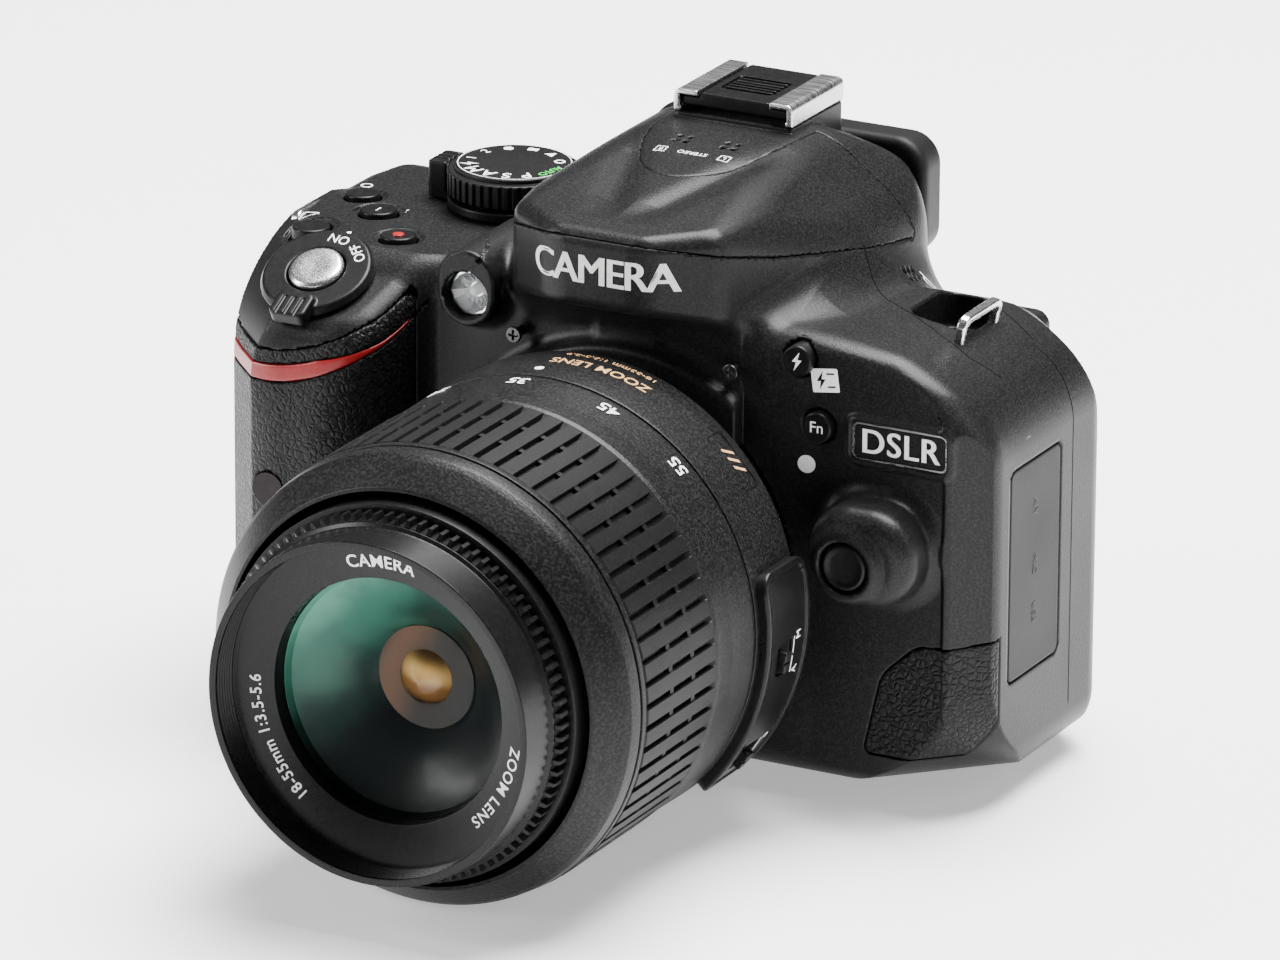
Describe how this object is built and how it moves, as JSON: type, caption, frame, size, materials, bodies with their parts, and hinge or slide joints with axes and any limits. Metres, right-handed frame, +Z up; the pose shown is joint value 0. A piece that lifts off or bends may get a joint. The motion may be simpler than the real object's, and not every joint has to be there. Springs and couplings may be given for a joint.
{
  "type": "digital slr camera",
  "caption": "Black digital SLR camera body with a rubber-clad grip, top hump with pop-up flash, hot shoe, mode dial, folding monitor and a ribbed kit zoom lens.",
  "frame": {"origin": "mouth of the tripod socket, in the camera's base plane, under the lens axis", "axes": "+Z up out of the camera's top, -Y the way the lens points, +X towards the connector side (the grip is on the -X side)"},
  "size_m": [0.129, 0.1455, 0.101],
  "materials": {
    "body_plastic": "fine-grained black paint",
    "top_plastic": "fine-grained black paint",
    "grip_rubber": "leather-grained rubber",
    "pad_rubber": "leather-grained rubber",
    "accent_red": "red gloss plastic",
    "dark_steel": "blackened screws",
    "chassis": "flocked black plastic",
    "mount_steel": "turned steel",
    "brass": "plated brass",
    "sensor_glass": "filter glass over the chip",
    "board_green": "circuit board",
    "prism_plastic": "moulded black plastic",
    "shutter_metal": "black lacquered blades",
    "shoe_steel": "brushed steel",
    "shoe_black": "black plastic",
    "eyelet_steel": "polished steel",
    "lamp_clear": "faceted clear plastic",
    "panel_black": "black plastic",
    "eyecup_rubber": "soft rubber",
    "receiver_plastic": "dark infrared window",
    "battery_grey": "dark grey plastic",
    "card_blue": "blue plastic",
    "flash_plastic": "fine-grained black paint",
    "flash_glass": "ribbed clear window",
    "dial_black": "knurled black plastic",
    "key_black": "satin black plastic",
    "release_silver": "satin silver",
    "mirror_glass": "surface mirror",
    "monitor_black": "grained black plastic",
    "monitor_glass": "cover glass over a dark panel",
    "cover_rubber": "soft black cover",
    "lens_plastic": "speckle-grained black plastic",
    "lens_rubber": "ribbed rubber",
    "barrel_black": "satin black plastic",
    "front_glass": "coated glass"
  },
  "bodies": {
    "camera": {"front_cover": "body_plastic", "rear_cover": "body_plastic", "bottom_cover": "body_plastic", "top_cover": "top_plastic", "grip_rubber": "grip_rubber", "rubber_pads": "pad_rubber", "grip_accent": "accent_red", "body_screws": "dark_steel", "mirror_box": "chassis", "lens_mount": "mount_steel", "tripod_bush": "brass", "image_sensor": "sensor_glass", "main_board": "board_green", "pentamirror": "prism_plastic", "shutter_unit": "shutter_metal", "accessory_shoe": "shoe_steel", "strap_eyelets": "eyelet_steel", "af_lamp": "lamp_clear", "connector_panel": "panel_black", "eyecup": "eyecup_rubber", "ir_windows": "receiver_plastic", "battery": "battery_grey", "memory_card": "card_blue", "lens_barrel": "lens_plastic"},
    "flash": {"flash_head": "flash_plastic", "flash_window": "flash_glass"},
    "monitor": {"monitor_arm": "monitor_black", "monitor_shell": "monitor_black", "monitor_glass": "monitor_glass"},
    "zoom": {"zoom_ring": "lens_plastic", "zoom_rubber": "lens_rubber"},
    "focus": {"focus_ring": "lens_plastic", "front_element": "front_glass"},
    "shoe_cover_body": {"shoe_cover": "shoe_black"},
    "mode_dial_body": {"mode_dial": "dial_black"},
    "live_view_lever_body": {"live_view_lever": "key_black"},
    "power_switch_body": {"power_switch": "key_black"},
    "shutter_button_body": {"shutter_button": "release_silver"},
    "movie_button_body": {"movie_button": "key_black"},
    "exposure_button_body": {"exposure_button": "key_black"},
    "info_button_body": {"info_button": "key_black"},
    "release_mode_button_body": {"release_mode_button": "key_black"},
    "flash_button_body": {"flash_button": "key_black"},
    "fn_button_body": {"fn_button": "key_black"},
    "lens_release_button_body": {"lens_release_button": "key_black"},
    "mirror_body": {"mirror": "mirror_glass"},
    "command_dial_body": {"command_dial": "dial_black"},
    "selector_pad_body": {"selector_pad": "key_black"},
    "ok_button_body": {"ok_button": "key_black"},
    "playback_button_body": {"playback_button": "key_black"},
    "zoom_in_button_body": {"zoom_in_button": "key_black"},
    "zoom_out_button_body": {"zoom_out_button": "key_black"},
    "delete_button_body": {"delete_button": "key_black"},
    "lock_button_body": {"lock_button": "key_black"},
    "connector_cover_body": {"connector_cover": "cover_rubber"},
    "card_door_body": {"card_door": "body_plastic"},
    "battery_door_body": {"battery_door": "body_plastic"},
    "inner_barrel_body": {"inner_barrel": "barrel_black"},
    "af_switch_body": {"af_switch": "key_black"},
    "stabiliser_switch_body": {"stabiliser_switch": "key_black"}
  },
  "joints": [
    {"name": "flash_hinge", "type": "hinge", "parent": "camera", "child": "flash", "pos_m": [0, 0.0115, 0.091], "axis": [-1, 0, 0], "range_deg": [0, 62]},
    {"name": "shoe_cover_slide", "type": "slide", "parent": "camera", "child": "shoe_cover_body", "axis": [0, 1, 0], "range_m": [0, 0.019]},
    {"name": "mode_dial_turn", "type": "hinge", "parent": "camera", "child": "mode_dial_body", "pos_m": [-0.0368, 0.0072, 0.08], "axis": [0, 0, 1], "continuous": true},
    {"name": "live_view_turn", "type": "hinge", "parent": "camera", "child": "live_view_lever_body", "pos_m": [-0.0368, 0.0072, 0.076], "axis": [0, 0, 1], "range_deg": [-25, 0], "stiffness_Nm_per_rad": 0.02},
    {"name": "power_switch_turn", "type": "hinge", "parent": "camera", "child": "power_switch_body", "pos_m": [-0.0527, -0.028, 0.07125], "axis": [0, 0.4695, -0.8829], "range_deg": [0, 35]},
    {"name": "shutter_press", "type": "slide", "parent": "camera", "child": "shutter_button_body", "axis": [0, 0.4695, -0.8829], "range_m": [0, 0.0012], "stiffness_N_per_m": 300},
    {"name": "movie_press", "type": "slide", "parent": "camera", "child": "movie_button_body", "axis": [0, 0, -1], "range_m": [0, 0.0007], "stiffness_N_per_m": 300},
    {"name": "exposure_press", "type": "slide", "parent": "camera", "child": "exposure_button_body", "axis": [0, 0, -1], "range_m": [0, 0.0007], "stiffness_N_per_m": 300},
    {"name": "info_press", "type": "slide", "parent": "camera", "child": "info_button_body", "axis": [0, 0, -1], "range_m": [0, 0.0007], "stiffness_N_per_m": 300},
    {"name": "release_mode_press", "type": "slide", "parent": "camera", "child": "release_mode_button_body", "axis": [0, 0, -1], "range_m": [0, 0.0007], "stiffness_N_per_m": 300},
    {"name": "flash_press", "type": "slide", "parent": "camera", "child": "flash_button_body", "axis": [0, 1, 0], "range_m": [0, 0.0007], "stiffness_N_per_m": 300},
    {"name": "fn_press", "type": "slide", "parent": "camera", "child": "fn_button_body", "axis": [0, 1, 0], "range_m": [0, 0.0007], "stiffness_N_per_m": 300},
    {"name": "playback_press", "type": "slide", "parent": "camera", "child": "playback_button_body", "axis": [0, -1, 0], "range_m": [0, 0.0007], "stiffness_N_per_m": 300},
    {"name": "zoom_in_press", "type": "slide", "parent": "camera", "child": "zoom_in_button_body", "axis": [0, -1, 0], "range_m": [0, 0.0007], "stiffness_N_per_m": 300},
    {"name": "zoom_out_press", "type": "slide", "parent": "camera", "child": "zoom_out_button_body", "axis": [0, -1, 0], "range_m": [0, 0.0007], "stiffness_N_per_m": 300},
    {"name": "delete_press", "type": "slide", "parent": "camera", "child": "delete_button_body", "axis": [0, -1, 0], "range_m": [0, 0.0007], "stiffness_N_per_m": 300},
    {"name": "lock_press", "type": "slide", "parent": "camera", "child": "lock_button_body", "axis": [0, -1, 0], "range_m": [0, 0.0007], "stiffness_N_per_m": 300},
    {"name": "ok_press", "type": "slide", "parent": "camera", "child": "ok_button_body", "axis": [0, -1, 0], "range_m": [0, 0.0007], "stiffness_N_per_m": 300},
    {"name": "lens_release_press", "type": "slide", "parent": "camera", "child": "lens_release_button_body", "axis": [0, 1, 0], "range_m": [0, 0.0015], "stiffness_N_per_m": 300},
    {"name": "selector_tilt", "type": "hinge", "parent": "camera", "child": "selector_pad_body", "pos_m": [-0.048, 0.0273, 0.038], "axis": [1, 0, 0], "range_deg": [-1.4, 1.4], "stiffness_Nm_per_rad": 0.5},
    {"name": "command_dial_turn", "type": "hinge", "parent": "camera", "child": "command_dial_body", "pos_m": [-0.055, 0.0255, 0.068], "axis": [0, 0, 1], "continuous": true},
    {"name": "mirror_flip", "type": "hinge", "parent": "camera", "child": "mirror_body", "pos_m": [0, 0.0055, 0.048], "axis": [-1, 0, 0], "range_deg": [0, 45]},
    {"name": "monitor_hinge", "type": "hinge", "parent": "camera", "child": "monitor", "pos_m": [0.0495, 0.03, 0.035], "axis": [0, 0, -1], "range_deg": [0, 175]},
    {"name": "connector_cover_hinge", "type": "hinge", "parent": "camera", "child": "connector_cover_body", "pos_m": [0.0603, -0.0119, 0.035], "axis": [0, 0, -1], "range_deg": [0, 88]},
    {"name": "card_door_hinge", "type": "hinge", "parent": "camera", "child": "card_door_body", "pos_m": [-0.0651, 0.0194, 0.043], "axis": [0, 0, -1], "range_deg": [0, 80]},
    {"name": "battery_door_hinge", "type": "hinge", "parent": "camera", "child": "battery_door_body", "pos_m": [-0.0443, -0.0135, 0.0011], "axis": [0, -1, 0], "range_deg": [0, 85]},
    {"name": "zoom_turn", "type": "hinge", "parent": "camera", "child": "zoom", "pos_m": [0, -0.068, 0.0335], "axis": [0, -1, 0], "range_deg": [0, 46]},
    {"name": "barrel_slide", "type": "slide", "parent": "camera", "child": "inner_barrel_body", "axis": [0, -1, 0], "range_m": [0, 0.0095]},
    {"name": "focus_turn", "type": "hinge", "parent": "inner_barrel_body", "child": "focus", "pos_m": [0, -0.098, 0.0335], "axis": [0, -1, 0], "range_deg": [0, 60]},
    {"name": "af_switch_slide", "type": "slide", "parent": "camera", "child": "af_switch_body", "axis": [0, 1, 0], "range_m": [0, 0.0022]},
    {"name": "stabiliser_switch_slide", "type": "slide", "parent": "camera", "child": "stabiliser_switch_body", "axis": [0, 1, 0], "range_m": [0, 0.0022]}
  ],
  "couplings": [
    {"joint": "barrel_slide", "follows": "zoom_turn", "m_per_rad": 0.01121}
  ]
}
